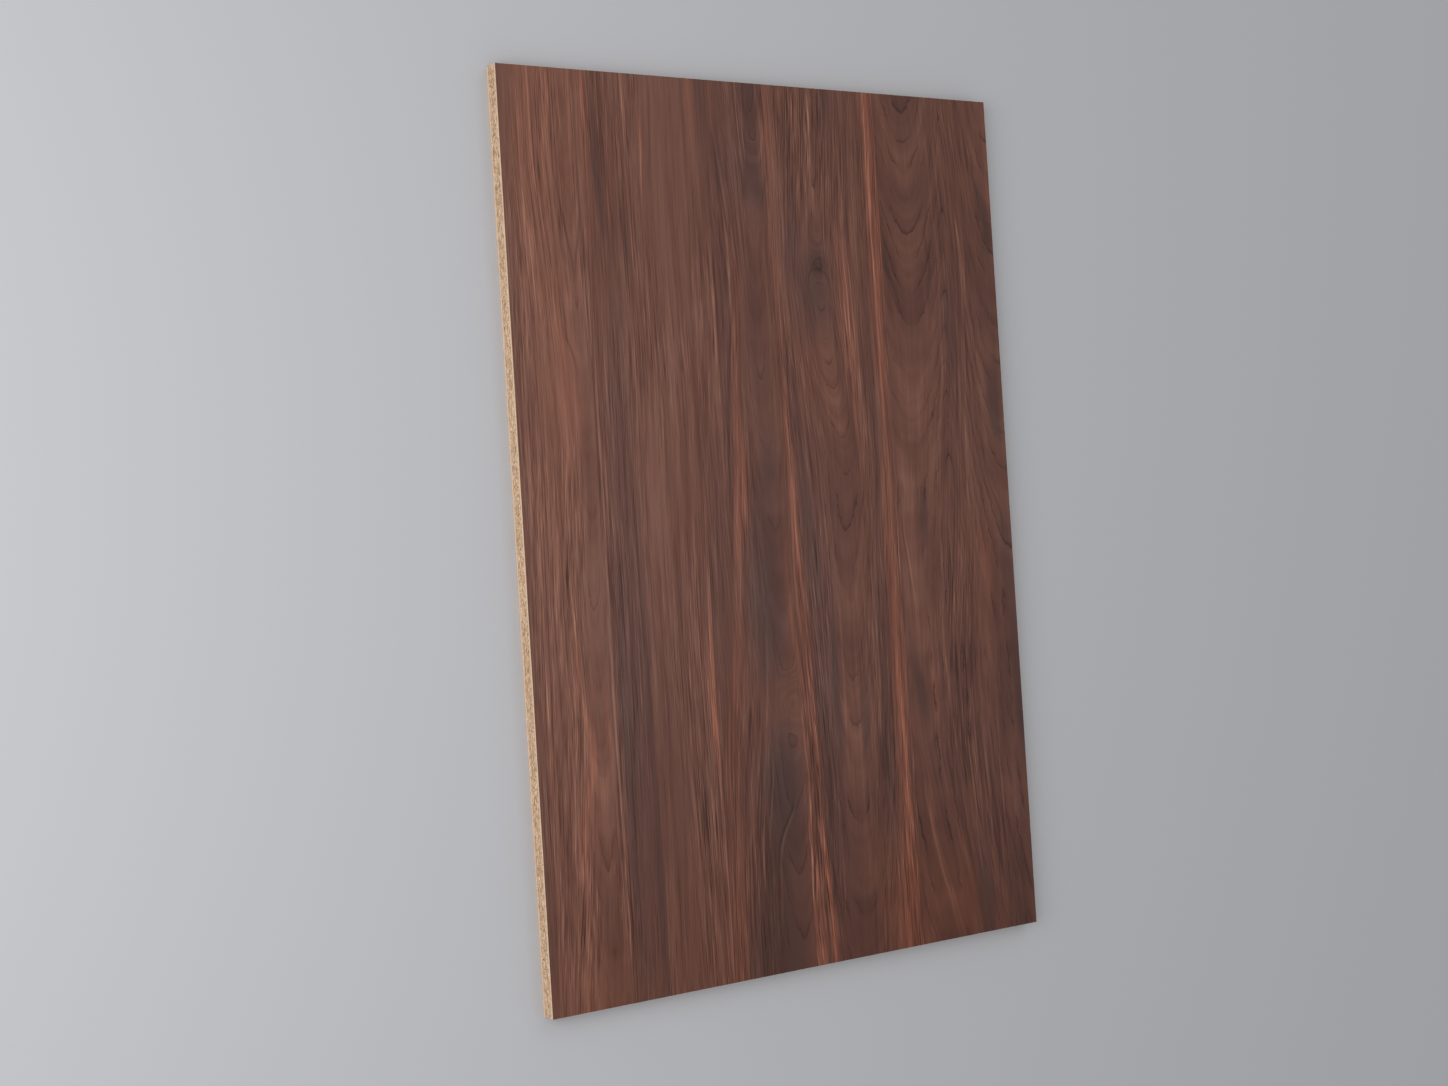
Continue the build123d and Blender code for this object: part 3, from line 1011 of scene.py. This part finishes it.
def make_facing(name, low, high, materials, turned):
    """A thin sheet, printed on its outer face, whose grid of faces holds what the print does."""
    acrosses, numbers = stave_columns()
    columns, rows = len(numbers), round((FAR - NEAR) / MM / ROW)
    downs = np.linspace(0.0, (FAR - NEAR) / MM, rows + 1)
    outer, glued = (low.z, high.z) if turned else (high.z, low.z)
    points = [(x, y, outer) for x, y in nicked_grid(name, acrosses, downs, turned)]

    def at(row, column):
        return row * (columns + 1) + column

    faces = [(at(row + 1, column), at(row + 1, column + 1), at(row, column + 1), at(row, column))
             for row in range(rows) for column in range(columns)]
    rim = [at(rows, column) for column in range(columns)]
    rim += [at(row, columns) for row in range(rows, 0, -1)]
    rim += [at(0, column) for column in range(columns, 0, -1)]
    rim += [at(row, 0) for row in range(rows)]
    first = len(points)
    points += [(*points[number][:2], glued) for number in rim]
    for number, corner in enumerate(rim):
        after = (number + 1) % len(rim)
        faces.append((first + number, first + after, rim[after], corner))
    inside, triangles = fill([point[:2] for point in points[first:]], first, glued)
    points += inside
    faces += triangles if turned else [triangle[::-1] for triangle in triangles]

    picks = [0] * (rows * columns) + [1] * len(rim) + [2] * len(triangles)
    strips = (OUTER_STRIP, BAND_STRIP, GLUED_STRIP)
    maps = [strip_map(*points[corner][:2], strips[pick])
            for face, pick in zip(faces, picks) for corner in face]
    piece = make_piece(name, points, faces, materials, picks, maps)
    put_print(piece, acrosses, numbers, downs, turned)
    return piece


def chip_relief(along, height, thickness):
    """How far the sawn side lies back at a place, as a share of the deepest pit."""
    depth = min(height, thickness - height)
    coarse = min(max((depth - FINE_LAYER + 0.6) / 1.2, 0.0), 1.0)
    gaps, nearest = noise.voronoi(Vector((along / PIT_SIZE[0], height / PIT_SIZE[1], 0.5)))
    chance = abs(noise.cell(nearest[0] * 13.7)) % 1.0
    rim = min((gaps[1] - gaps[0]) * 4.0, 1.0)
    pit = max(chance - 1 + PIT_SHARE, 0.0) / PIT_SHARE * rim * coarse
    rough = (noise.noise(Vector((along / 0.9, height / 0.5, 4.0))) + 1) / 2
    return 0.9 * pit + rough * (0.03 + 0.07 * coarse)


def core_ring():
    """The columns of places round the board: each one's foot, the way inward and its pits' share."""
    corners = [Vector((LEFT, NEAR)), Vector((RIGHT, NEAR)), Vector((RIGHT, FAR)), Vector((LEFT, FAR))]
    ring = []
    for start, stop in zip(corners, corners[1:] + corners[:1]):
        length = (stop - start).length / MM
        ahead = (stop - start).normalized()
        inward = Vector((-ahead.y, ahead.x))
        for column in range(round(length / CHIP_COLUMN)):
            along = column * CHIP_COLUMN
            fade = min(along, length - along, PIT_FADE) / PIT_FADE
            ring.append((start + ahead * along * MM, inward, fade))
    return ring


def sawn_maps(rows, columns):
    """The places of the sawn sides' corners in their map."""
    in_band = columns // SAWN_BANDS
    pitch = (SAWN_STRIP[1] - SAWN_STRIP[0]) / SAWN_BANDS
    maps = []
    for row in range(rows):
        for column in range(columns):
            start, band = column % in_band, column // in_band
            for right, up in ((0, 0), (1, 0), (1, 1), (0, 1)):
                u = MAP_RIM + (start + right) / in_band * (1 - 2 * MAP_RIM)
                v = SAWN_STRIP[0] + band * pitch + (row + up) / rows * (pitch - BAND_GAP)
                maps.append((u, v))
    return maps


def make_core(name, materials):
    """The board itself: four sawn sides with pits between the chips, closed by two flat faces."""
    thickness = (CORE_HIGH.z - CORE_LOW.z) / MM
    rows = round(thickness / CHIP_ROW)
    ring = core_ring()
    columns = len(ring)
    points, depths = [], []
    for row in range(rows + 1):
        height = thickness * row / rows
        for column, (foot, inward, fade) in enumerate(ring):
            depth = chip_relief(column * CHIP_COLUMN, height, thickness) * fade
            points.append((*(foot + inward * depth * PIT_DEPTH * MM), CORE_LOW.z + height * MM))
            depths.append(depth)

    faces, sawn = [], []
    for row in range(rows):
        for column in range(columns):
            after = (column + 1) % columns
            face = (row * columns + column, row * columns + after,
                    (row + 1) * columns + after, (row + 1) * columns + column)
            faces.append(face)
            for corner, step in zip(face, (0, 1, 1, 0)):
                sawn.append(((column + step) * CHIP_COLUMN, depths[corner], 0.0))

    maps = sawn_maps(rows, columns)
    for height, row, half in ((CORE_LOW.z, 0, 0.0), (CORE_HIGH.z, rows, 0.5)):
        first = row * columns
        # the fill's numbers count the rim's points, which are there already, and then its own
        inside, triangles = fill([point[:2] for point in points[first:first + columns]], 0, height)
        shift = len(points) - columns
        triangles = [[first + corner if corner < columns else shift + corner for corner in triangle]
                     for triangle in triangles]
        points += inside
        if row == 0:
            triangles = [triangle[::-1] for triangle in triangles]
        faces += triangles
        maps += [strip_map(*points[corner][:2], FLAT_STRIP, half + MAP_RIM, half + 0.5 - MAP_RIM)
                 for triangle in triangles for corner in triangle]
    sawn_faces = rows * columns
    picks = [0] * sawn_faces + [1] * (len(faces) - sawn_faces)
    piece = make_piece(name, points, faces, materials, picks, maps)
    # each sawn corner keeps its place round the board in millimetres, and how deep it lies
    put_values(piece, "sawn", "CORNER", sawn)
    return piece


make_camera()
make_studio()

print_edge = plain_layer("print_edge", srgb(70, 50, 42), srgb(92, 66, 54), 0.02)
glued_paper = plain_layer("glued_paper", srgb(122, 94, 68), srgb(134, 104, 76), 0.3)
hidden_board = plain_layer("hidden_board", srgb(186, 154, 116), srgb(200, 168, 130), 0.3)

decor = make_facing("walnut_face", DECOR_LOW, DECOR_HIGH,
                    (walnut_print("walnut_print", turned=False), print_edge, glued_paper), turned=False)
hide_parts("decor_face")

backing = make_facing("walnut_underside", BACKING_LOW, BACKING_HIGH,
                      (walnut_print("underside_print", turned=True), print_edge, glued_paper),
                      turned=True)
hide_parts("backing_face")

core = make_core("sawn_board", (chipboard("chipboard_edge"), hidden_board))
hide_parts("chipboard_core")

bpy.context.scene.view_settings.view_transform = "Standard"
